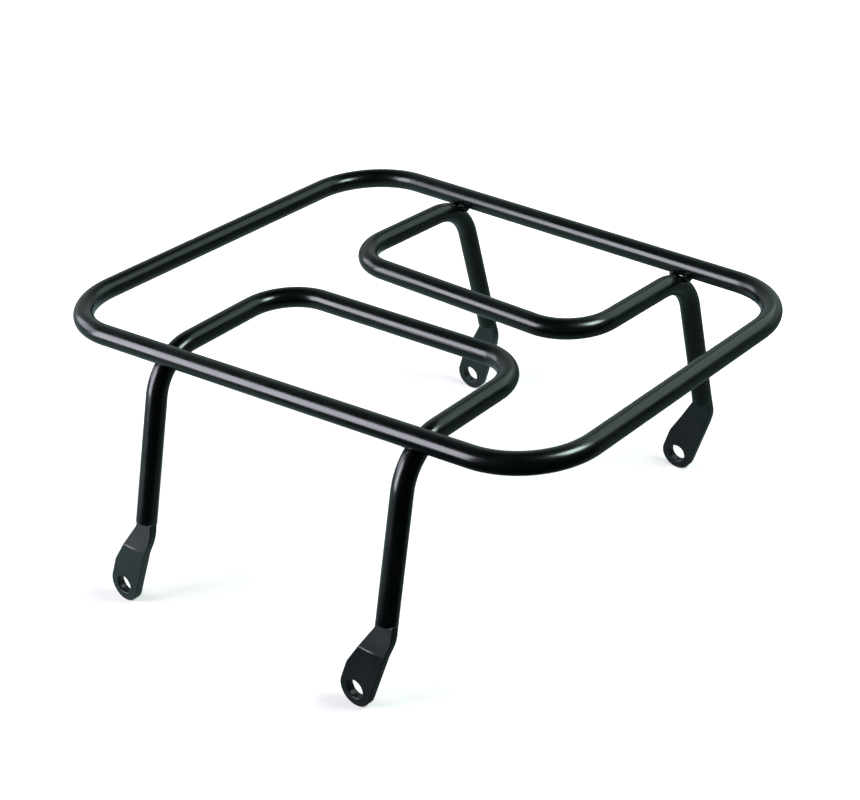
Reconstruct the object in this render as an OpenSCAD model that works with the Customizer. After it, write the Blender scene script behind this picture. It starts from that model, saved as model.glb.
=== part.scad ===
// Flat-topped tubular luggage rack for the tail of a motorcycle.
// One tapered hoop of bent tube lies on two U-shaped support tubes.
// The ends of the support tubes are the four legs, and each leg ends in a folded bolt tab.
// X runs along the rack from the wide end to the narrow end, Y runs across it and Z is up.
// The tabs stand on the plane Z = 0, left is the +Y side, and all sizes are in mm.

/* [Tube] */
// Outside diameter of every tube
tube_d = 12; // [11:0.5:13]
// Wall thickness of every tube
tube_wall = 1.5; // [1:0.1:2.5]

/* [Top hoop] */
// Height of the top of the rack above the ends of the tabs
rack_height = 162.5; // [150:0.5:190]
// Length of the hoop over its tube
hoop_length = 352; // [330:1:400]
// Width between the tube centres at the wide end, sides run on to the corner
hoop_width_wide = 270; // [262:1:290]
// Width between the tube centres at the narrow end, sides run on to the corner
hoop_width_narrow = 230; // [222:1:250]
// Bend radius of the hoop corners at the tube centre
hoop_corner_r = 43.5; // [30:0.5:55]

/* [Support tubes] */
// How far the wide-end arms lie below the hoop, centre to centre
support_drop_wide = 3.7; // [3:0.1:8]
// How far the narrow-end arms lie below the hoop, centre to centre
support_drop_narrow = 6.2; // [3:0.1:8]
// Clearance between hoop and support tube where they cross
seat_gap = 0.15; // [0.1:0.05:0.3]
// Distance from the middle of the rack to the wide-end arm, at the closed end of the U
arm_wide_root = 87.5; // [80:0.5:100]
// Distance from the middle of the rack to the wide-end arm, at the hoop
arm_wide_hoop = 83.5; // [76:0.5:94]
// Distance from the middle of the rack to the narrow-end arm, at the closed end of the U
arm_narrow_root = 89; // [80:0.5:100]
// Distance from the middle of the rack to the narrow-end arm, at the hoop
arm_narrow_hoop = 91.5; // [84:0.5:100]
// Distance between the two closed ends at their wide-end corners
bridge_spread_wide = 53; // [40:1:70]
// Distance between the two closed ends at their narrow-end corners
bridge_spread_narrow = 40; // [30:1:60]
// Bend radius of the closed ends at the tube centre
support_corner_r = 29.5; // [24:0.5:36]
// Bend radius from arm to leg at the tube centre
leg_bend_r = 29.5; // [24:0.5:34]

/* [Bolt tabs] */
// Distance between the holes along the rack
hole_pitch = 176; // [165:1:185]
// Distance of the wide-end holes from the middle of the rack
hole_wide_x = 107.5; // [100:0.5:112]
// Distance between the wide-end plates at their holes, middle to middle of their thickness
hole_span_wide = 314; // [302:1:324]
// Distance between the narrow-end plates at their holes, middle to middle of their thickness
hole_span_narrow = 298; // [288:1:308]
// Diameter of the bolt hole
hole_d = 11; // [8:0.5:13]
// Width of the chamfer round each mouth of the hole
hole_chamfer = 0.5; // [0.2:0.1:1]
// Thickness of the plate
tab_t = 5; // [3:0.5:6]
// Radius of the rounded lower end, about the hole
tab_end_r = 10.5; // [9:0.5:12]
// Width of the plate where the tube stands on it
tab_top_w = 12; // [10:0.5:14]
// How far the leg stands behind the hole along the rack
tab_lean = 20.5; // [16:0.5:23]
// Height of the fold above the hole
fold_rise = 28.5; // [24:0.5:32]
// Length of plate between the fold and the tube
fold_to_tube = 18.5; // [14:0.5:22]
// Outward lean of the plate below its fold, in degrees
plate_splay = 2; // [0:0.5:5]
// Inside radius of the fold
fold_r = 3; // [1:0.5:5]
// Lean of the plate's body from upright, towards the narrow end, in degrees
body_lean = 22; // [20:0.5:24]
// Height above the hole where the short edge starts to narrow
taper_z = 16; // [10:0.5:18]
// Height of the upright neck under the tube on the short edge
neck_h = 3; // [1:0.5:5]
// Radius of the turn from the body to the narrowing short edge
taper_r = 12; // [4:1:16]
// Radius of the turn where the long edge comes upright under the tube
shoulder_r = 24; // [10:1:28]

/* [Welds] */
// Radius of the bead round each crossing
bead_r = 2.2; // [1.8:0.1:2.6]
// Distance of the bead from the point where the tubes touch
bead_reach = 5; // [4.5:0.1:5.5]
// Part of a turn, in degrees, that each bead runs round
bead_sweep = 96; // [60:2:120]
// How far the weld stands out round the foot of a leg
foot_weld_out = 0.6; // [0.3:0.1:1]
// Height of the weld round the foot of a leg
foot_weld_h = 2.6; // [2:0.2:4]

/* [Hidden] */
$fn = 64;
// The bends are drawn this much fuller than the straights, which run this far into them.
bend_full = 0.02;
bend_lap = 0.3;
// How far a cutting form runs past the face that it cuts.
cut_over = 5;
// Edge of the block that trims the end of a leg.
trim_edge = 36;
// Clearance between the end of a leg and the weld below it.
weld_gap = 0.02;
// Parts of each arc that rounds a corner of the plate.
arc_steps = 6;
half = 0.5;
tube_r = tube_d * half;
bore_r = tube_r - tube_wall;
hoop_z = rack_height - tube_r;
support_drop = [support_drop_wide, support_drop_narrow];
hoop_x = hoop_length * half - tube_r;
wide_y = hoop_width_wide * half;
narrow_y = hoop_width_narrow * half;
hoop_slope = (wide_y - narrow_y) / (hoop_x + hoop_x);
// The lower edge of the leaning plate stands on the ground.
hole_z = tab_end_r * cos(plate_splay) + tab_t * half * sin(plate_splay);
// The two ends of the rack, as indexes.
WIDE = 0;
NARROW = 1;
ENDS = [WIDE, NARROW];
hole_x = [-hole_wide_x, hole_pitch - hole_wide_x];
hole_y = [hole_span_wide * half, hole_span_narrow * half];

// Unit vector of v.
function unit(v) = v / norm(v);
// Turn between two directions, in degrees.
function turn(u, w) = acos(u * w);
// Points of an arc of radius r that rounds a corner.
function rounded(before, corner, after, r) =
    let (
        u = unit(corner - before),
        w = unit(after - corner),
        bend = turn(u, w),
        centre = corner + unit(w - u) * r / cos(bend * half),
        start = corner - u * r * tan(bend * half) - centre
    )
    [for (i = [0 : arc_steps])
        centre + start * cos(bend * i / arc_steps) + u * r * sin(bend * i / arc_steps)];
// Distance of the hoop's side line from the middle plane, at x.
function side_y(x) = wide_y - (x + hoop_x) * hoop_slope;

// Middle of each plate's fold.
fold = [for (e = ENDS) [
    hole_x[e] + tab_lean,
    hole_y[e] - fold_rise * sin(plate_splay),
    hole_z + fold_rise * cos(plate_splay)
]];
// Centre of each bend from arm to leg, in the plane across the rack: there the bend touches the hoop.
arm_x = [-arm_wide_hoop, arm_narrow_hoop];
touch_r = leg_bend_r + tube_d + seat_gap;
bend_down = [for (e = ENDS) support_drop[e] + leg_bend_r];
bend_in = [for (e = ENDS) sqrt(touch_r * touch_r - bend_down[e] * bend_down[e])];
bend_y = [for (e = ENDS) side_y(arm_x[e]) - bend_in[e] * norm([1, hoop_slope])];
// Splay of each leg: it runs from the fold of its plate and just meets its bend.
splay = [for (e = ENDS)
    let (dy = fold[e].y - bend_y[e], dz = hoop_z - bend_down[e] - fold[e].z)
    atan(dy / dz) - asin(leg_bend_r / norm([dy, dz]))];
// Virtual corners of the support tube on the left.
arm_z = [for (e = ENDS) hoop_z - support_drop[e]];
root = [
    [-arm_wide_root, bridge_spread_wide * half, arm_z[WIDE]],
    [arm_narrow_root, bridge_spread_narrow * half, arm_z[NARROW]]
];
crest = [for (e = ENDS)
    [arm_x[e], fold[e].y - (arm_z[e] - fold[e].z) * tan(splay[e]), arm_z[e]]];
foot = [for (e = ENDS) fold[e] + fold_to_tube * [0, -sin(splay[e]), cos(splay[e])]];
leg_dir = [for (e = ENDS) unit(foot[e] - crest[e])];
arm_dir = [for (e = ENDS) unit(crest[e] - root[e])];
hoop_corners = [
    [-hoop_x, -wide_y, hoop_z],
    [-hoop_x, wide_y, hoop_z],
    [hoop_x, narrow_y, hoop_z],
    [hoop_x, -narrow_y, hoop_z]
];
side_dir = unit(hoop_corners[2] - hoop_corners[1]);

// Centre of the bend from arm to leg, and the point where the tubes touch.
function bend_turn(e) = turn(arm_dir[e], leg_dir[e]);
function bend_centre(e) =
    crest[e] + unit(leg_dir[e] - arm_dir[e]) * leg_bend_r / cos(bend_turn(e) * half);
function crossing(e) = [arm_x[e], side_y(arm_x[e]), hoop_z];
function touch_dir(e) = unit(crossing(e) - bend_centre(e));
function touch_point(e) =
    crossing(e) - touch_dir(e) * (norm(crossing(e) - bend_centre(e)) - leg_bend_r) * half;

// Stands its child in a frame of its own: origin and two axes.
module stand(origin, ax, ay) {
    az = cross(ax, ay);
    multmatrix([
        [ax.x, ay.x, az.x, origin.x],
        [ax.y, ay.y, az.y, origin.y],
        [ax.z, ay.z, az.z, origin.z]
    ])
        children();
}

// Straight rod from one point to another, run past each end by the given laps.
module rod(from, to, r, lap_from, lap_to) {
    run = unit(to - from);
    ax = unit(cross(run, [run.y, run.z, -run.x]));
    stand(from - run * lap_from, ax, cross(run, ax))
        cylinder(r = r, h = norm(to - from) + lap_from + lap_to);
}

// Bend of a rod at a virtual corner.
module elbow(before, corner, after, bend_r, r) {
    u = unit(corner - before);
    w = unit(after - corner);
    bend = turn(u, w);
    centre = corner + unit(w - u) * bend_r / cos(bend * half);
    start = corner - u * bend_r * tan(bend * half);
    stand(centre, unit(start - centre), u)
        rotate_extrude(angle = bend)
            translate([bend_r, 0])
                circle(r = r + bend_full);
}

// Length that a bend takes from each straight.
function taken(before, corner, after, bend_r) =
    bend_r * tan(turn(unit(corner - before), unit(after - corner)) * half);

// Open run of bent rod through virtual corners, with one bend radius for each inner corner.
module bent_rod(points, radii, r, over) {
    last = len(points) - 1;
    for (i = [1 : last - 1])
        elbow(points[i - 1], points[i], points[i + 1], radii[i], r);
    for (i = [0 : last - 1]) {
        run = unit(points[i + 1] - points[i]);
        cut_a = i == 0 ? 0 : taken(points[i - 1], points[i], points[i + 1], radii[i]);
        cut_b = i == last - 1 ? 0 : taken(points[i], points[i + 1], points[i + 2], radii[i + 1]);
        lap_a = i == 0 ? over : bend_lap;
        lap_b = i == last - 1 ? over : bend_lap;
        rod(points[i] + run * cut_a, points[i + 1] - run * cut_b, r, lap_a, lap_b);
    }
}

// Closed run of bent rod through virtual corners.
module ring_rod(points, bend_r, r) {
    n = len(points);
    for (i = [0 : n - 1]) {
        before = points[(i + n - 1) % n];
        corner = points[i];
        after = points[(i + 1) % n];
        beyond = points[(i + 2) % n];
        run = unit(after - corner);
        elbow(before, corner, after, bend_r, r);
        rod(corner + run * taken(before, corner, after, bend_r),
            after - run * taken(corner, after, beyond, bend_r), r, bend_lap, bend_lap);
    }
}

// Everything below the end plane of a leg, or lower by drop, as a block that trims the tube square
// to its plate.
module below_foot(e, drop = 0) {
    translate(foot[e])
        rotate([splay[e], 0, 0])
            translate([0, 0, -trim_edge * half - drop])
                cube(trim_edge, center = true);
}

module top_hoop() {
    color("#1c2020")
        difference() {
            ring_rod(hoop_corners, hoop_corner_r, tube_r);
            ring_rod(hoop_corners, hoop_corner_r, bore_r);
        }
}

support_points = [foot[WIDE], crest[WIDE], root[WIDE], root[NARROW], crest[NARROW], foot[NARROW]];
support_radii = [0, leg_bend_r, support_corner_r, support_corner_r, leg_bend_r, 0];

module support_tube() {
    difference() {
        bent_rod(support_points, support_radii, tube_r, cut_over);
        bent_rod(support_points, support_radii, bore_r, cut_over + cut_over);
        below_foot(WIDE);
        below_foot(NARROW);
    }
}

module left_support_tube() {
    color("#1c2020")
        support_tube();
}

module right_support_tube() {
    color("#1c2020")
        mirror([0, 1, 0])
            support_tube();
}

// Side view of the folded plate, with its fold at the origin: x is outwards and y is up.
module plate_side(e) {
    bent = splay[e] - plate_splay;
    mid_r = fold_r + tab_t * half;
    setback = mid_r * tan(bent * half);
    up = [-sin(bent), cos(bent)];
    out = [cos(bent), sin(bent)];
    centre = [-mid_r, -setback];
    bottom = -(fold_rise + tab_end_r + cut_over);
    turns = [for (i = [0 : arc_steps]) bent * i / arc_steps];
    outer = [for (t = turns) centre + (fold_r + tab_t) * [cos(t), sin(t)]];
    inner = [for (i = [arc_steps : -1 : 0]) centre + fold_r * [cos(turns[i]), sin(turns[i])]];
    polygon(concat(
        [[tab_t * half, bottom]],
        outer,
        [up * fold_to_tube + out * tab_t * half, up * fold_to_tube - out * tab_t * half],
        inner,
        [[-tab_t * half, bottom]]
    ));
}

// Face view of the plate about its hole: x is along the rack and y is up.
// A leaning body with a round lower end narrows on its short side to the width of the leg.
module plate_face() {
    lap = 0.03;
    across = [cos(body_lean), -sin(body_lean)];
    along = [sin(body_lean), cos(body_lean)];
    tip = fold_rise + fold_to_tube;
    over = tip + tab_t;
    short_x = tab_lean - tab_top_w * half;
    long_x = tab_lean + tab_top_w * half;
    neck = [short_x, tip - neck_h];
    long_edge = across * tab_end_r;
    short_edge = -across * tab_end_r;
    shoulder = long_edge + along * (long_x - long_edge.x) / along.x;
    taper = short_edge + along * (taper_z - short_edge.y) / along.y;
    polygon(concat(
        [[0, 0], short_edge * (tab_end_r - lap) / tab_end_r],
        rounded(short_edge, taper, neck, taper_r),
        [neck, [short_x, over], [long_x, over]],
        rounded([long_x, over], shoulder, long_edge, shoulder_r),
        [long_edge * (tab_end_r - lap) / tab_end_r]
    ));
}

// Stands a form that is drawn along Z through the plate at its hole.
module through_plate(deep) {
    translate([0, deep * half, 0])
        rotate([90, 0, 0])
            children();
}

// Bolt hole through the plate, with a chamfer at each mouth.
module bolt_hole(deep) {
    mouth_d = hole_d + hole_chamfer + hole_chamfer;
    cylinder(d = hole_d, h = deep);
    translate([0, 0, (deep - tab_t) * half])
        cylinder(d1 = mouth_d, d2 = hole_d, h = hole_chamfer);
    translate([0, 0, (deep + tab_t) * half - hole_chamfer])
        cylinder(d1 = hole_d, d2 = mouth_d, h = hole_chamfer);
}

module tab_plate(e) {
    wide = tab_lean + tab_top_w + tab_end_r + cut_over;
    deep = fold_to_tube + fold_to_tube + tab_t;
    translate([hole_x[e], hole_y[e], hole_z])
        rotate([plate_splay, 0, 0])
            difference() {
                intersection() {
                    translate([-tab_end_r - cut_over, 0, fold_rise])
                        rotate([90, 0, 90])
                            linear_extrude(wide)
                                plate_side(e);
                    through_plate(deep)
                        union() {
                            cylinder(r = tab_end_r, h = deep);
                            linear_extrude(deep)
                                plate_face();
                        }
                }
                through_plate(deep)
                    bolt_hole(deep);
            }
}

module left_wide_tab() {
    color("#24292a")
        tab_plate(WIDE);
}

module right_wide_tab() {
    color("#24292a")
        mirror([0, 1, 0])
            tab_plate(WIDE);
}

module left_narrow_tab() {
    color("#24292a")
        tab_plate(NARROW);
}

module right_narrow_tab() {
    color("#24292a")
        mirror([0, 1, 0])
            tab_plate(NARROW);
}

// Weld round the foot of a leg: a low collar that also fills the tube's end beside the plate.
module foot_weld(e) {
    up = -leg_dir[e];
    ax = unit(cross([0, 1, 0], up));
    rise = foot_weld_h * half;
    flat = foot_weld_out * half;
    difference() {
        stand(foot[e], ax, cross(up, ax))
            rotate_extrude()
                polygon([
                    [0, -rise],
                    [tube_r - foot_weld_out, -rise],
                    [tube_r + foot_weld_out, -flat],
                    [tube_r + foot_weld_out, flat],
                    [tube_r - flat, rise],
                    [0, rise]
                ]);
        difference() {
            rod(crest[e], foot[e], tube_r, 0, cut_over);
            below_foot(e, weld_gap);
        }
        tab_plate(e);
    }
}

module left_wide_foot_weld() {
    color("#2b3030")
        foot_weld(WIDE);
}

module right_wide_foot_weld() {
    color("#2b3030")
        mirror([0, 1, 0])
            foot_weld(WIDE);
}

module left_narrow_foot_weld() {
    color("#2b3030")
        foot_weld(NARROW);
}

module right_narrow_foot_weld() {
    color("#2b3030")
        mirror([0, 1, 0])
            foot_weld(NARROW);
}

// Bead between hoop and support tube, on the side of the crossing that faces along the rack by way.
module crossing_bead(e, way) {
    n = touch_dir(e);
    ax = unit(side_dir - n * (side_dir * n)) * way;
    reach = bead_reach + bead_r + cut_over;
    difference() {
        stand(touch_point(e), ax, cross(n, ax))
            rotate([0, 0, -bead_sweep * half])
                rotate_extrude(angle = bead_sweep)
                    translate([bead_reach, 0])
                        circle(r = bead_r);
        rod(crossing(e) - side_dir * reach, crossing(e) + side_dir * reach, tube_r, 0, 0);
        elbow(root[e], crest[e], foot[e], leg_bend_r, tube_r);
    }
}

module left_wide_bead_end() {
    color("#2b3030")
        crossing_bead(WIDE, -1);
}

module left_wide_bead_middle() {
    color("#2b3030")
        crossing_bead(WIDE, 1);
}

module right_wide_bead_end() {
    color("#2b3030")
        mirror([0, 1, 0])
            crossing_bead(WIDE, -1);
}

module right_wide_bead_middle() {
    color("#2b3030")
        mirror([0, 1, 0])
            crossing_bead(WIDE, 1);
}

module left_narrow_bead_end() {
    color("#2b3030")
        crossing_bead(NARROW, 1);
}

module left_narrow_bead_middle() {
    color("#2b3030")
        crossing_bead(NARROW, -1);
}

module right_narrow_bead_end() {
    color("#2b3030")
        mirror([0, 1, 0])
            crossing_bead(NARROW, 1);
}

module right_narrow_bead_middle() {
    color("#2b3030")
        mirror([0, 1, 0])
            crossing_bead(NARROW, -1);
}

top_hoop();
left_support_tube();
right_support_tube();
left_wide_tab();
right_wide_tab();
left_narrow_tab();
right_narrow_tab();
left_wide_foot_weld();
right_wide_foot_weld();
left_narrow_foot_weld();
right_narrow_foot_weld();
left_wide_bead_end();
left_wide_bead_middle();
right_wide_bead_end();
right_wide_bead_middle();
left_narrow_bead_end();
left_narrow_bead_middle();
right_narrow_bead_end();
right_narrow_bead_middle();
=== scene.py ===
import math

import bpy
import numpy as np
from mathutils import Matrix


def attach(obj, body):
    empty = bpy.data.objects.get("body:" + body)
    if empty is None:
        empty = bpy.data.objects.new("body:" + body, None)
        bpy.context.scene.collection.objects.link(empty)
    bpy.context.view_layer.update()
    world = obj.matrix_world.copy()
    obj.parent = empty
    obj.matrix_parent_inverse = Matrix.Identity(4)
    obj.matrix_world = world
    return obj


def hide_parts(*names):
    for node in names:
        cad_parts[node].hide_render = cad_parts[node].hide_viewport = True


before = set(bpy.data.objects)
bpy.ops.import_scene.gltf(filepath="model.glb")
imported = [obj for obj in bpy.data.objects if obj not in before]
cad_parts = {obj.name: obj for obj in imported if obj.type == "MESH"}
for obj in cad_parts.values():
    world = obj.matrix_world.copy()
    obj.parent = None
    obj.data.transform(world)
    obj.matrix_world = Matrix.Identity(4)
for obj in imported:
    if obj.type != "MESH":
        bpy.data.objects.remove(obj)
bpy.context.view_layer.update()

# Top hoop.
# One length of 12 mm steel tube, bent at its four corners and welded into a tapered ring. It is
# the deck that the luggage lies on. Black powder coat covers it with the rest.

# Sizes are in millimetres, and MM turns them to metres.
MM = 0.001
TUBE_R = 6.0
HOOP_Z = 156.5
HOOP_X = 170.0
WIDE_Y = 135.0
NARROW_Y = 115.0
HOOP_CORNER_R = 43.5


def unit(v):
    """Each vector divided by its own length."""
    v = np.asarray(v, float)
    return v / np.linalg.norm(v, axis=-1, keepdims=True)


def bent_line(corners, radii, closed, step=4.0, turn_step=3.0):
    """Centre line of a bent tube: straights joined by arcs, as points and unit directions.

    An arc point is the bend's centre plus r times (cos a * outward + sin a * incoming direction),
    and its direction is the derivative of that. An open line keeps its two ends where they are.
    """
    corners = np.asarray(corners, float)
    n = len(corners)
    arcs = {}
    for i in range(n) if closed else range(1, n - 1):
        before, corner, after = corners[i - 1], corners[i], corners[(i + 1) % n]
        u, w = unit(corner - before), unit(after - corner)
        turn = math.acos(np.clip(u @ w, -1, 1))
        r = radii[i]
        centre = corner + unit(w - u) * r / math.cos(turn / 2)
        out = unit(corner - u * r * math.tan(turn / 2) - centre)
        a = np.linspace(0, turn, max(4, int(math.degrees(turn) / turn_step)))[:, None]
        arcs[i] = (centre + r * (np.cos(a) * out + np.sin(a) * u), np.cos(a) * u - np.sin(a) * out)
    points, ways = [], []
    for i in range(n):
        k = max(i, 1)
        arc, arc_way = arcs.get(i, (corners[i][None], unit(corners[k] - corners[k - 1])[None]))
        points.append(arc)
        ways.append(arc_way)
        if closed or i < n - 1:
            j = (i + 1) % n
            start = arc[-1]
            stop = arcs[j][0][0] if j in arcs else corners[j]
            count = max(2, int(np.linalg.norm(stop - start) / step))
            t = np.linspace(0, 1, count + 1)[1:-1, None]
            points.append(start + (stop - start) * t)
            ways.append(np.repeat(unit(stop - start)[None], len(t), axis=0))
    return np.concatenate(points), np.concatenate(ways)


def sweep(points, ways, radius, aside, around=48):
    """Tube wall: centre + r * (cos a * n + sin a * b) for rings along a line.

    n is the direction `aside` made square to the line and b is line x n. radius is one number,
    or one for each ring.
    """
    aside = np.asarray(aside, float)
    n = unit(aside - ways * (ways @ aside)[:, None])
    b = np.cross(ways, n)
    a = np.linspace(0, 2 * math.pi, around, endpoint=False)[None, :, None]
    r = np.broadcast_to(np.asarray(radius, float), (len(points),))[:, None, None]
    return points[:, None] + r * (np.cos(a) * n[:, None] + np.sin(a) * b[:, None])


def grid_piece(name, grid, wrap_rows, wrap_columns, close_ends=False, mirror=False):
    """Mesh of a grid of points in mm: quads between neighbours, wrapped where the surface closes.

    close_ends adds a middle point to the first and last row. mirror takes y to -y and turns
    the faces round.
    """
    rows, columns = grid.shape[:2]
    points = grid.reshape(-1, 3)
    i = np.arange(rows if wrap_rows else rows - 1)[:, None]
    j = np.arange(columns if wrap_columns else columns - 1)[None, :]
    k, m = (i + 1) % rows, (j + 1) % columns
    quads = np.stack([i * columns + j, k * columns + j, k * columns + m, i * columns + m], -1)
    faces = [quads.reshape(-1, 4)]
    if close_ends:
        first, last = len(points), len(points) + 1
        points = np.concatenate([points, grid[0].mean(0)[None], grid[-1].mean(0)[None]])
        c = np.arange(columns)
        d = (c + 1) % columns
        tail = (rows - 1) * columns
        faces.append(np.stack([np.full(columns, first), c, d], -1))
        faces.append(np.stack([np.full(columns, last), tail + d, tail + c], -1))
    if mirror:
        points = points * [1, -1, 1]
        faces = [f[:, ::-1] for f in faces]
    corners = np.concatenate([f.ravel() for f in faces]).astype(np.int32)
    sizes = np.concatenate([np.full(len(f), f.shape[1]) for f in faces])
    starts = np.concatenate([[0], np.cumsum(sizes)[:-1]]).astype(np.int32)
    mesh = bpy.data.meshes.new(name)
    mesh.vertices.add(len(points))
    mesh.vertices.foreach_set("co", (points * MM).ravel())
    mesh.loops.add(len(corners))
    mesh.loops.foreach_set("vertex_index", corners)
    mesh.polygons.add(len(sizes))
    mesh.polygons.foreach_set("loop_start", starts)
    mesh.polygons.foreach_set("use_smooth", np.ones(len(sizes), bool))
    mesh.update(calc_edges=True)
    mesh.validate()
    piece = bpy.data.objects.new(name, mesh)
    bpy.context.scene.collection.objects.link(piece)
    return piece


def linear(code):
    """sRGB hex to a linear colour."""
    parts = [int(code[i:i + 2], 16) / 255 for i in (1, 3, 5)]
    return [v / 12.92 if v <= 0.04045 else ((v + 0.055) / 1.055) ** 2.4 for v in parts] + [1.0]


def add_node(tree, kind, settings=None, links=None):
    """Adds a node. settings gives its properties and input values, links its inputs' sources.

    An input goes by its name, or by its number where several share one name.
    """
    node = tree.nodes.new(kind)
    for key, value in (settings or {}).items():
        if isinstance(key, str) and hasattr(node, key):
            setattr(node, key, value)
        else:
            node.inputs[key].default_value = value
    for key, source in (links or {}).items():
        tree.links.new(source, node.inputs[key])
    return node


def powder_coat(name, dark, light, rough, peel_mm, grain_mm=1.6):
    """Black polyester powder coat: a plastic film over the steel, melted smooth in the oven.

    It stays a little uneven, like orange peel, in waves grain_mm wide and peel_mm deep, so that
    long highlights keep a soft edge. Slow patches shift its black and its gloss slightly.
    """
    patch_mm = 18
    material = bpy.data.materials.new(name)
    material.use_nodes = True
    tree = material.node_tree
    shader = tree.nodes["Principled BSDF"]
    shader.inputs["IOR"].default_value = 1.5
    where = {"Vector": add_node(tree, "ShaderNodeTexCoord").outputs["Object"]}

    patches = add_node(tree, "ShaderNodeTexNoise", {"Scale": 1 / (patch_mm * MM), "Detail": 3.0}, where)
    colour = add_node(tree, "ShaderNodeValToRGB", None, {"Fac": patches.outputs["Fac"]})
    first, last = colour.color_ramp.elements
    first.position, first.color = 0.35, linear(dark)
    last.position, last.color = 0.65, linear(light)
    tree.links.new(colour.outputs["Color"], shader.inputs["Base Color"])

    shift = {"From Min": 0.3, "From Max": 0.7, "To Min": rough - 0.03, "To Max": rough + 0.04}
    gloss = add_node(tree, "ShaderNodeMapRange", shift, {"Value": patches.outputs["Fac"]})
    tree.links.new(gloss.outputs["Result"], shader.inputs["Roughness"])

    wave = {"Scale": 1 / (grain_mm * MM), "Detail": 2.0, "Roughness": 0.5}
    skin = add_node(tree, "ShaderNodeTexNoise", wave, where)
    depth = {"Strength": 1.0, "Distance": peel_mm * MM}
    bump = add_node(tree, "ShaderNodeBump", depth, {"Height": skin.outputs["Fac"]})
    tree.links.new(bump.outputs["Normal"], shader.inputs["Normal"])
    return material


def dress(piece, material, slot, *nodes):
    """Gives a piece its finish, joins it to the rack and lets it stand for its solids."""
    piece.data.materials.append(material)
    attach(piece, "root")
    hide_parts(*nodes)


# Drawn tube is smooth under the film, so its coat is the glossiest, with hardly any peel.
tube_coat = powder_coat("black_powder_coat_on_tube", "#020506", "#040808", 0.23, 0.003)

hoop_corners = [(-HOOP_X, -WIDE_Y, HOOP_Z), (-HOOP_X, WIDE_Y, HOOP_Z),
                (HOOP_X, NARROW_Y, HOOP_Z), (HOOP_X, -NARROW_Y, HOOP_Z)]
hoop_line, hoop_way = bent_line(hoop_corners, [HOOP_CORNER_R] * 4, True)
hoop = grid_piece("hoop_tube", sweep(hoop_line, hoop_way, TUBE_R, (0, 0, 1)), True, True)
dress(hoop, tube_coat, "tube", "top_hoop")


# Support tubes.
# Two U-shaped tubes of the same 12 mm stock lie under the hoop, one on each side, back to back.
# Each bends down at the hoop into two splayed legs, cut square at the bottom.
BORE_R = 4.5
SEAT_GAP = 0.15
LEG_BEND_R = 29.5
SUPPORT_CORNER_R = 29.5
# Pairs of values are for the wide and the narrow end.
DROP = np.array([3.7, 6.2])
ARM_X = np.array([-83.5, 91.5])
ROOT = np.array([[-87.5, 26.5], [89.0, 20.0]])
HOLE_X = np.array([-107.5, 68.5])
HOLE_Y = np.array([157.0, 149.0])
TAB_T = 5.0
TAB_END_R = 10.5
TAB_LEAN = 20.5
FOLD_RISE = 28.5
FOLD_TO_TUBE = 18.5
PLATE_SPLAY = math.radians(2.0)
CUT_EDGE_R = 0.5
CUT_EDGE_STEPS = 5
ends = ("wide", "narrow")
sides = (("left", False), ("right", True))

# The leg starts where the plate folds. It leans so that it is a tangent of the bend at its top,
# and that bend touches the hoop from below, with SEAT_GAP between them.
hole_z = TAB_END_R * math.cos(PLATE_SPLAY) + TAB_T / 2 * math.sin(PLATE_SPLAY)
fold = np.stack([HOLE_X + TAB_LEAN, HOLE_Y - FOLD_RISE * math.sin(PLATE_SPLAY),
                 np.full(2, hole_z + FOLD_RISE * math.cos(PLATE_SPLAY))], 1)
hoop_slope = (WIDE_Y - NARROW_Y) / (2 * HOOP_X)
side_y = WIDE_Y - (ARM_X + HOOP_X) * hoop_slope
touch_r = LEG_BEND_R + 2 * TUBE_R + SEAT_GAP
bend_in = np.sqrt(touch_r ** 2 - (DROP + LEG_BEND_R) ** 2)
arm_z = HOOP_Z - DROP
bend_out = fold[:, 1] - side_y + bend_in * math.hypot(1, hoop_slope)
bend_up = arm_z - LEG_BEND_R - fold[:, 2]
splay = np.arctan(bend_out / bend_up) - np.arcsin(LEG_BEND_R / np.hypot(bend_out, bend_up))
root = np.column_stack([ROOT, arm_z])
crest = np.stack([ARM_X, fold[:, 1] - (arm_z - fold[:, 2]) * np.tan(splay), arm_z], 1)
foot = fold + FOLD_TO_TUBE * np.stack([np.zeros(2), -np.sin(splay), np.cos(splay)], 1)


def support_surface(line, way):
    """Closed skin of a support tube: the outside wall one way and the bore back again.

    At each cut end the outside is rounded: over a quarter turn t the ring moves in from the end by
    R * (1 - sin t) and its radius shrinks by R * (1 - cos t), with R the cut edge's radius.
    """
    quarter = np.linspace(0, math.pi / 2, CUT_EDGE_STEPS)
    lead = CUT_EDGE_R * (1 - np.sin(quarter))[:, None]
    shrink = CUT_EDGE_R * (1 - np.cos(quarter))
    first_way, last_way = np.repeat(way[[0, -1]], CUT_EDGE_STEPS, 0).reshape(2, -1, 3)
    centres = np.concatenate([line[0] + way[0] * lead[::-1], line[1:-1], line[-1] - way[-1] * lead])
    outer_way = np.concatenate([first_way, way[1:-1], last_way])
    radii = np.concatenate([TUBE_R - shrink[::-1], np.full(len(line) - 2, TUBE_R), TUBE_R - shrink])
    aside = (1, 0, 1)
    outer = sweep(centres, outer_way, radii, aside)
    return np.concatenate([outer, sweep(line, way, BORE_R, aside)[::-1]])


support_corners = [foot[0], crest[0], root[0], root[1], crest[1], foot[1]]
support_radii = [0, LEG_BEND_R, SUPPORT_CORNER_R, SUPPORT_CORNER_R, LEG_BEND_R, 0]
support_skin = support_surface(*bent_line(support_corners, support_radii, False))
for side, mirror in sides:
    tube = grid_piece(side + "_support_bent_tube", support_skin, True, True, mirror=mirror)
    dress(tube, tube_coat, "tube", side + "_support_tube")


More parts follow.
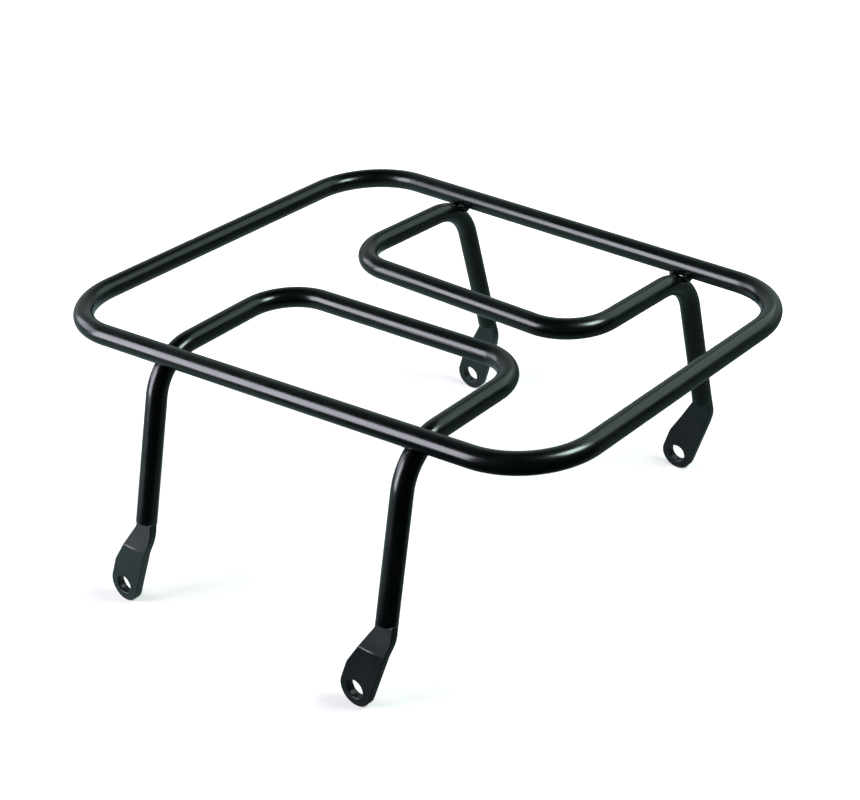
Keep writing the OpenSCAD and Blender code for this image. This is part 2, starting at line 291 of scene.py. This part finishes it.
# Bolt tabs.
# Four pieces of 5 mm steel plate, cut with a round end about the bolt hole, folded to follow the
# splayed leg and welded on under the cut end of the tube.
TAB_TOP_W = 12.0
BODY_LEAN = math.radians(22.0)
TAPER_Z = 16.0
TAPER_R = 12.0
NECK_H = 3.0
NECK_R = 4.0
TOP_R = 0.8
TOP_SHARE = 0.99
SHOULDER_R = 24.0
HOLE_R = 5.5
EDGE_R = 0.55
SLANT_Z = 6.5
SLANT_RISE = 33.5
FOLD_W = 1.5
CREASE_H = 0.3
CREASE_W = 0.4
CREASE_UP = 0.2

# Rolled plate is rougher than tube, so here the same film is duller, with a closer, deeper peel.
tab_coat = powder_coat("black_powder_coat_on_plate", "#0b1013", "#111619", 0.33, 0.012, 0.9)


def tab_outline(count=240):
    """Face outline of the plate about its hole, evenly spaced.

    A round end, a leaning body, a taper on the short edge to the width of the leg, and an arc that
    brings the long edge upright. Its top ends just inside the weld.
    """
    across = np.array([math.cos(BODY_LEAN), -math.sin(BODY_LEAN)])
    along = np.array([math.sin(BODY_LEAN), math.cos(BODY_LEAN)])
    top = FOLD_RISE + FOLD_TO_TUBE * TOP_SHARE
    left, right = TAB_LEAN - TAB_TOP_W / 2, TAB_LEAN + TAB_TOP_W / 2
    long_edge, short_edge = across * TAB_END_R, -across * TAB_END_R
    shoulder = long_edge + along * (right - long_edge[0]) / along[0]
    taper = short_edge + along * (TAPER_Z - short_edge[1]) / along[1]
    a = np.linspace(-BODY_LEAN, -BODY_LEAN - math.pi, 80)
    end = np.stack([np.cos(a), np.sin(a)], 1) * TAB_END_R
    corners = np.array([end[-1], taper, (left, top - NECK_H), (left, top), (right, top), shoulder, end[0]])
    radii = [0, TAPER_R, NECK_R, TOP_R, TOP_R, SHOULDER_R, 0]
    line, _ = bent_line(np.c_[corners, np.zeros(len(corners))], radii, False, 0.4, 2.0)
    ring = np.concatenate([end[:-1], line[:, :2]])
    closed = np.concatenate([ring, ring[:1]])
    gone = np.concatenate([[0], np.cumsum(np.linalg.norm(np.diff(closed, axis=0), axis=1))])
    s = np.linspace(0, gone[-1], count, endpoint=False)
    return np.stack([np.interp(s, gone, closed[:, 0]), np.interp(s, gone, closed[:, 1])], 1)


def aslant(points, sign):
    """Face points sheared sideways: by nothing up to SLANT_Z, then evenly up to TAB_LEAN."""
    slant = np.clip((points[..., 1] - SLANT_Z) / SLANT_RISE, 0, 1) * TAB_LEAN
    return points + sign * np.stack([slant, 0 * slant], -1)


def ease(t):
    """Smooth step: 3 t squared minus 2 t cubed, with t held between 0 and 1."""
    t = np.clip(t, 0, 1)
    return t * t * (3 - 2 * t)


def tab_surface(e):
    """Closed skin of one tab: hole wall, outer face, rounded edge, back face.

    Rows run from the hole's rim to the outline and back. A face point is hole + (outline - hole) * w,
    worked out in a sheared face, where the neck stands over the hole, and then sheared back. The
    fold leans everything above it: the middle line's y is minus the running sum of tan(lean), and
    a depth d stands at d / cos(lean). The burr on the fold's line is a narrow bell curve that
    fades from the short edge to the long one.
    """
    half = TAB_T / 2
    out = tab_outline()
    tangent = np.roll(out, -1, 0) - np.roll(out, 1, 0)
    normal = unit(np.stack([-tangent[:, 1], tangent[:, 0]], 1))
    ray = unit(aslant(out, -1))
    quarter = np.linspace(0, math.pi / 2, 6)
    inset, sink = EDGE_R * (1 - np.sin(quarter)), EDGE_R * (1 - np.cos(quarter))

    rim = ray * (HOLE_R + inset[::-1, None, None])
    inner, brink = ray * (HOLE_R + EDGE_R), aslant(out - normal * EDGE_R, -1)
    w = [[0.002, 0.01], np.linspace(0.03, 0.5, 24)[:-1], np.linspace(0.5, 0.99, 72), [0.998]]
    face = aslant(inner + (brink - inner) * np.concatenate(w)[:, None, None], 1)
    edge = out - normal * inset[:, None, None]
    flat = np.concatenate([rim, face, edge])
    flat = np.concatenate([flat, flat[::-1]])
    depth = half - np.concatenate([sink[::-1], np.zeros(len(face)), sink])
    depth = np.concatenate([depth, -depth[::-1]])[:, None]

    h = np.linspace(-20, 60, 1601)
    lean = (splay[e] - PLATE_SPLAY) * ease((h - FOLD_RISE) / FOLD_W + 0.5)
    middle = -np.concatenate([[0], np.cumsum(np.tan((lean[1:] + lean[:-1]) / 2) * np.diff(h))])
    x, at = flat[..., 0], flat[..., 1]
    y = np.interp(at, h, middle) + depth / np.cos(np.interp(at, h, lean))
    fade = 1 - ease((x - TAB_LEAN + TAB_TOP_W) / (1.1 * TAB_TOP_W))
    burr = CREASE_H * np.exp(-((at - FOLD_RISE - CREASE_UP) / CREASE_W) ** 2) * fade
    y = y + burr * (depth > half - EDGE_R)
    c, s = math.cos(PLATE_SPLAY), math.sin(PLATE_SPLAY)
    return np.stack([HOLE_X[e] + x, HOLE_Y[e] + y * c - at * s, hole_z + y * s + at * c], -1)


for e in (0, 1):
    skin = tab_surface(e)
    for side, mirror in sides:
        tab = grid_piece(f"{side}_{ends[e]}_tab_plate", skin, True, True, mirror=mirror)
        dress(tab, tab_coat, "tab_plate", f"{side}_{ends[e]}_tab")


# Foot welds.
# A MIG bead runs round under the cut end of each leg and joins it to both faces of its plate.
# It was ground lightly before coating, so only low ripples are left.
WELD_H = 1.2
WELD_TOE_HALF = 2.3
CUFF_T = 0.16
FOOT_RIPPLES = 22
RIPPLE_H = 0.09
SIDE_BLOB = 0.35

# The film pools between the ripples of a weld and evens them out, so it shines as on the tube.
weld_coat = powder_coat("black_powder_coat_on_weld", "#040808", "#080c0d", 0.24, 0.02, 0.8)


def foot_weld_surface(e, around=120):
    """Fillet from the rim of the tube in to the plate's faces.

    Level v runs from 0 at the rim to 1 on the plate, WELD_H lower, and a thin cuff laps the tube
    above it. The half width along the plate stays near the tube's radius, and the half depth
    shrinks by (1 - v) to the power 1.7 to a little under the plate's half thickness. Two sine waves
    make the ripples, and a bell curve swells the bead where it turns round the plate's edges.
    """
    up = unit(crest[e] - foot[e])
    ax = unit(np.cross([0, 1, 0], up))
    ay = np.cross(up, ax)
    a = np.linspace(0, 2 * math.pi, around, endpoint=False)[None, :]
    v = np.array([-0.35, -0.3, -0.2, 0.0, 0.12, 0.25, 0.4, 0.55, 0.7, 0.85, 1.0])[:, None]
    t = np.maximum(v, 0)
    cuff = np.where((v >= -0.3) & (v < 0.3), CUFF_T, 0)
    blob = SIDE_BLOB * np.exp(-(np.sin(a) / 0.45) ** 2) * np.exp(-((v - 0.1) / 0.3) ** 2)
    waves = RIPPLE_H * (np.sin(a * FOOT_RIPPLES) + 0.5 * np.sin(a * 7 + 1.3))
    ripple = waves * np.sin(math.pi * np.clip((v + 0.3) / 1.3, 0, 1))
    wide = TUBE_R * (0.992 - 0.03 * t) + cuff + blob + ripple
    deep = WELD_TOE_HALF + (TUBE_R + 0.1 - TAB_T / 2) * (1 - t) ** 1.7 + ripple
    wide[0] = deep[0] = TUBE_R - 0.4
    x, y = np.cos(a) * wide, np.sin(a) * deep
    return (foot[e] + x[..., None] * ax + y[..., None] * ay - up * (v * WELD_H)[..., None])[::-1]


for e in (0, 1):
    skin = foot_weld_surface(e)
    for side, mirror in sides:
        bead = grid_piece(f"{side}_{ends[e]}_foot_weld_bead", skin, False, True, True, mirror)
        dress(bead, weld_coat, "weld", f"{side}_{ends[e]}_foot_weld")


# Crossing welds.
# Where the hoop lies on a support tube, a short bead fills the notch on each side of the crossing.
# The ripples are the steps of the weld pool.
BEAD_R = 2.2
BEAD_REACH = 5.0
BEAD_SWEEP = math.radians(96.0)
BEAD_RIPPLES = 9

side_way = unit([2 * HOOP_X, NARROW_Y - WIDE_Y, 0])


def crossing_bead_surface(e, toward, around=28, rings=90):
    """Crescent bead: a tube along an arc about the point where the tubes touch.

    Its radius is BEAD_R * sin(pi s) to the power 0.35, so the ends are round, times a ripple.
    """
    u, w = unit(crest[e] - root[e]), unit(foot[e] - crest[e])
    turn = math.acos(u @ w)
    centre = crest[e] + unit(w - u) * LEG_BEND_R / math.cos(turn / 2)
    over = np.array([ARM_X[e], side_y[e], HOOP_Z])
    n = unit(over - centre)
    touch = over - n * (np.linalg.norm(over - centre) - LEG_BEND_R) / 2
    ax = unit(side_way - n * (side_way @ n)) * toward
    ay = np.cross(n, ax)
    s = np.linspace(0.004, 0.996, rings)
    a = (s - 0.5)[:, None] * BEAD_SWEEP
    line = touch + BEAD_REACH * (np.cos(a) * ax + np.sin(a) * ay)
    way = -np.sin(a) * ax + np.cos(a) * ay
    ripple = 0.97 + 0.05 * np.abs(np.sin(math.pi * s * BEAD_RIPPLES + 0.4))
    return sweep(line, way, BEAD_R * np.sin(math.pi * s) ** 0.35 * ripple, n, around)


for e, outward in ((0, -1), (1, 1)):
    for place, toward in (("end", outward), ("middle", -outward)):
        skin = crossing_bead_surface(e, toward)
        for side, mirror in sides:
            bead = grid_piece(f"{side}_{ends[e]}_crossing_bead_{place}", skin, False, True, True, mirror)
            dress(bead, weld_coat, "weld", f"{side}_{ends[e]}_bead_{place}")


# Floor.
# A seamless sweep of white studio paper, which carries the rack's faint shadows. A glow brings it
# to white for the camera. The tubes' gloss sees it dimmer, as a painted reflection: a glow set by
# place, brightest on the left and almost none at the front, that paints their undersides' light and dark.
FLOOR_SIZE = 3.0
FLOOR_NEAR_WHITE = 0.46
FLOOR_FAR_WHITE = 1.02
FLOOR_LEFT_PAINTED_REFLECTION = 0.45
FLOOR_RIGHT_PAINTED_REFLECTION = 0.2
FLOOR_FRONT_PAINTED_REFLECTION_SHARE = 0.08
TO_FRONT = (0.6, -0.8, 0.0)

# A Mix node has several inputs called A and B, and these are the numbers of its colour sockets.
MIX_A, MIX_B, MIX_RESULT = 6, 7, 2

floor_corners = [(-FLOOR_SIZE, -FLOOR_SIZE, 0), (FLOOR_SIZE, -FLOOR_SIZE, 0),
                 (FLOOR_SIZE, FLOOR_SIZE, 0), (-FLOOR_SIZE, FLOOR_SIZE, 0)]
floor_mesh = bpy.data.meshes.new("studio_floor")
floor_mesh.from_pydata(floor_corners, [], [(0, 1, 2, 3)])
floor = bpy.data.objects.new("studio_floor", floor_mesh)
bpy.context.scene.collection.objects.link(floor)

paper = bpy.data.materials.new("white_paper_sweep")
paper.use_nodes = True
tree = paper.node_tree
tree.nodes.clear()
ray = add_node(tree, "ShaderNodeLightPath")
spot = add_node(tree, "ShaderNodeTexCoord").outputs["Object"]
by_ray = {"Factor": ray.outputs["Is Glossy Ray"]}

# The paper itself, left out of what the gloss sees.
paper_tones = {"data_type": "RGBA", MIX_A: linear("#e8e4e4"), MIX_B: linear("#000000")}
tone = add_node(tree, "ShaderNodeMix", paper_tones, by_ray)
diffuse = add_node(tree, "ShaderNodeBsdfDiffuse", None, {"Color": tone.outputs[MIX_RESULT]})

# What the gloss sees: a painted reflection, a glow set by place that dims from left to right and goes
# dark past a line at the front.
x_of_spot = add_node(tree, "ShaderNodeSeparateXYZ", None, {"Vector": spot}).outputs["X"]
left_to_right = {"From Min": -0.12, "From Max": 0.0, "To Min": FLOOR_LEFT_PAINTED_REFLECTION, "To Max": FLOOR_RIGHT_PAINTED_REFLECTION}
painted_reflection_across = add_node(tree, "ShaderNodeMapRange", left_to_right, {"Value": x_of_spot})
toward_front = add_node(tree, "ShaderNodeVectorMath", {"operation": "DOT_PRODUCT", 1: TO_FRONT}, {0: spot})
to_dark = {"From Min": 0.13, "From Max": 0.20, "To Min": 1.0, "To Max": FLOOR_FRONT_PAINTED_REFLECTION_SHARE}
painted_reflection_front_fade = add_node(tree, "ShaderNodeMapRange", to_dark, {"Value": toward_front.outputs["Value"]})
painted_floor_reflection = add_node(tree, "ShaderNodeMath", {"operation": "MULTIPLY"},
                    {0: painted_reflection_across.outputs["Result"], 1: painted_reflection_front_fade.outputs["Result"]})
in_gloss = add_node(tree, "ShaderNodeMath", {"operation": "MULTIPLY"},
                    {0: ray.outputs["Is Glossy Ray"], 1: painted_floor_reflection.outputs[0]})
indirect = add_node(tree, "ShaderNodeMath", {"operation": "ADD"},
                    {0: in_gloss.outputs[0], 1: ray.outputs["Is Transmission Ray"]})

# What the camera sees: the glow that makes the paper white, weaker near the rack, where the lamps
# light the paper enough and the shadows fall.
distance = add_node(tree, "ShaderNodeVectorMath", {"operation": "LENGTH"}, {0: spot})
outwards = {"From Min": 0.21, "From Max": 0.36, "To Min": FLOOR_NEAR_WHITE, "To Max": FLOOR_FAR_WHITE}
white = add_node(tree, "ShaderNodeMapRange", outwards, {"Value": distance.outputs["Value"]})
seen = add_node(tree, "ShaderNodeMath", {"operation": "MULTIPLY_ADD"},
                {0: ray.outputs["Is Camera Ray"], 1: white.outputs["Result"], 2: indirect.outputs[0]})
# The painted reflection takes a cyan tint, the camera's white a faint warm one.
glow_tones = {"data_type": "RGBA", MIX_A: linear("#fffcfb"), MIX_B: linear("#ccf4f0")}
hue = add_node(tree, "ShaderNodeMix", glow_tones, by_ray)
glow = add_node(tree, "ShaderNodeEmission", None,
                {"Color": hue.outputs[MIX_RESULT], "Strength": seen.outputs[0]})
both = add_node(tree, "ShaderNodeAddShader", None, {0: diffuse.outputs[0], 1: glow.outputs[0]})
add_node(tree, "ShaderNodeOutputMaterial", None, {"Surface": both.outputs[0]})
floor_mesh.materials.append(paper)


# Backdrop.
# The paper goes on behind the rack as a curved wall, white to the camera. In the gloss it is a painted
# reflection, strongest near the floor and fading overhead, that paints a soft rim on the tubes' upper
# edges.
WALL_R = 3.2
WALL_TURN = (50, 192)
WALL_RISE = (-1, 84)
WALL_PAINTED_REFLECTION = 0.5


def wall_surface():
    """Part of a sphere about the rack, from the floor almost to overhead, on the far left side."""
    turn = np.radians(np.linspace(*WALL_TURN, 50))[None, :]
    rise = np.radians(np.linspace(*WALL_RISE, 30))[:, None]
    parts = [np.cos(rise) * np.cos(turn), np.cos(rise) * np.sin(turn), np.sin(rise) + 0 * turn]
    return WALL_R / MM * np.stack(parts, -1)


wall = grid_piece("studio_backdrop", wall_surface(), False, False)
wall_paper = bpy.data.materials.new("white_paper_backdrop")
wall_paper.use_nodes = True
tree = wall_paper.node_tree
tree.nodes.clear()
ray = add_node(tree, "ShaderNodeLightPath")
spot = add_node(tree, "ShaderNodeTexCoord").outputs["Object"]
height = add_node(tree, "ShaderNodeSeparateXYZ", None, {"Vector": spot}).outputs["Z"]
# The painted reflection: a glow that only the gloss sees, fading with height.
upwards = {"From Min": 0.45 * WALL_R, "From Max": 0.94 * WALL_R, "To Min": WALL_PAINTED_REFLECTION, "To Max": 0.0}
fade = add_node(tree, "ShaderNodeMapRange", upwards, {"Value": height})
glossy_ray, camera_ray = ray.outputs["Is Glossy Ray"], ray.outputs["Is Camera Ray"]
shown = add_node(tree, "ShaderNodeMath", {"operation": "MULTIPLY_ADD"},
                 {0: glossy_ray, 1: fade.outputs["Result"], 2: camera_ray})
glow = add_node(tree, "ShaderNodeEmission", {"Color": linear("#e4faf6")}, {"Strength": shown.outputs[0]})
add_node(tree, "ShaderNodeOutputMaterial", None, {"Surface": glow.outputs[0]})
wall.data.materials.append(wall_paper)


# Light.
# Two large soft boxes stand low at the front left and the left and draw the long highlights. A dim
# one hangs high at the back and a small lamp overhead, in a room that only the camera sees white.
ROOM_LIT = 0.015
RACK_MIDDLE = np.array([0, 0, 0.1])

world = bpy.data.worlds.new("studio")
bpy.context.scene.world = world
world.use_nodes = True
tree = world.node_tree
room = tree.nodes["Background"]
room.inputs["Color"].default_value = linear("#ffffff")
camera_ray = add_node(tree, "ShaderNodeLightPath").outputs["Is Camera Ray"]
level = add_node(tree, "ShaderNodeMath", {"operation": "MAXIMUM", 1: ROOM_LIT}, {0: camera_ray})
tree.links.new(level.outputs[0], room.inputs["Strength"])


def soft_box(name, toward, distance, wide, high, radiance, tint):
    """Area lamp at a distance in a direction from the rack's middle, facing it.

    Its power is pi * area * radiance, so its face has that brightness.
    """
    toward = unit(toward)
    across = unit(np.cross((0, 0, 1), toward))
    rise = np.cross(toward, across)
    place = RACK_MIDDLE + toward * distance
    lamp = bpy.data.lights.new(name, "AREA")
    lamp.shape = "RECTANGLE"
    lamp.size, lamp.size_y = wide, high
    lamp.energy = math.pi * wide * high * radiance
    lamp.color = linear(tint)[:3]
    made = bpy.data.objects.new(name, lamp)
    bpy.context.scene.collection.objects.link(made)
    made.matrix_world = Matrix([*np.column_stack([across, rise, toward, place]), (0, 0, 0, 1)])


# Direction, distance, width and height in metres, brightness and colour.
soft_box("front_left_soft_box", (-0.55, -0.81, 0.30), 2.0, 1.08, 1.4, 10.6, "#f2f2ff")
soft_box("left_soft_box", (-0.92, -0.30, 0.34), 2.0, 1.1, 0.9, 4.2, "#eceeff")
soft_box("high_back_soft_box", (0.28, 0.66, 0.66), 0.85, 0.74, 0.56, 1.2, "#d4f6ee")
soft_box("overhead_lamp", (0.66, 0.12, 0.74), 0.8, 0.28, 0.28, 22.0, "#e6fff4")


# Camera.
# It looks down on the narrow end from the front right, as the photograph does, through a short
# telephoto lens from about a metre away.
camera_data = bpy.data.cameras.new("camera")
camera_data.sensor_width = 36.0
camera_data.lens = 75.83
camera_data.clip_end = 100.0
camera = bpy.data.objects.new("camera", camera_data)
bpy.context.scene.collection.objects.link(camera)
camera.location = (0.62495, -0.67691, 0.59587)
camera.rotation_euler = [math.radians(v) for v in (61.3657, 3.5192, 40.9661)]
bpy.context.scene.camera = camera
bpy.context.scene.view_settings.view_transform = "Standard"
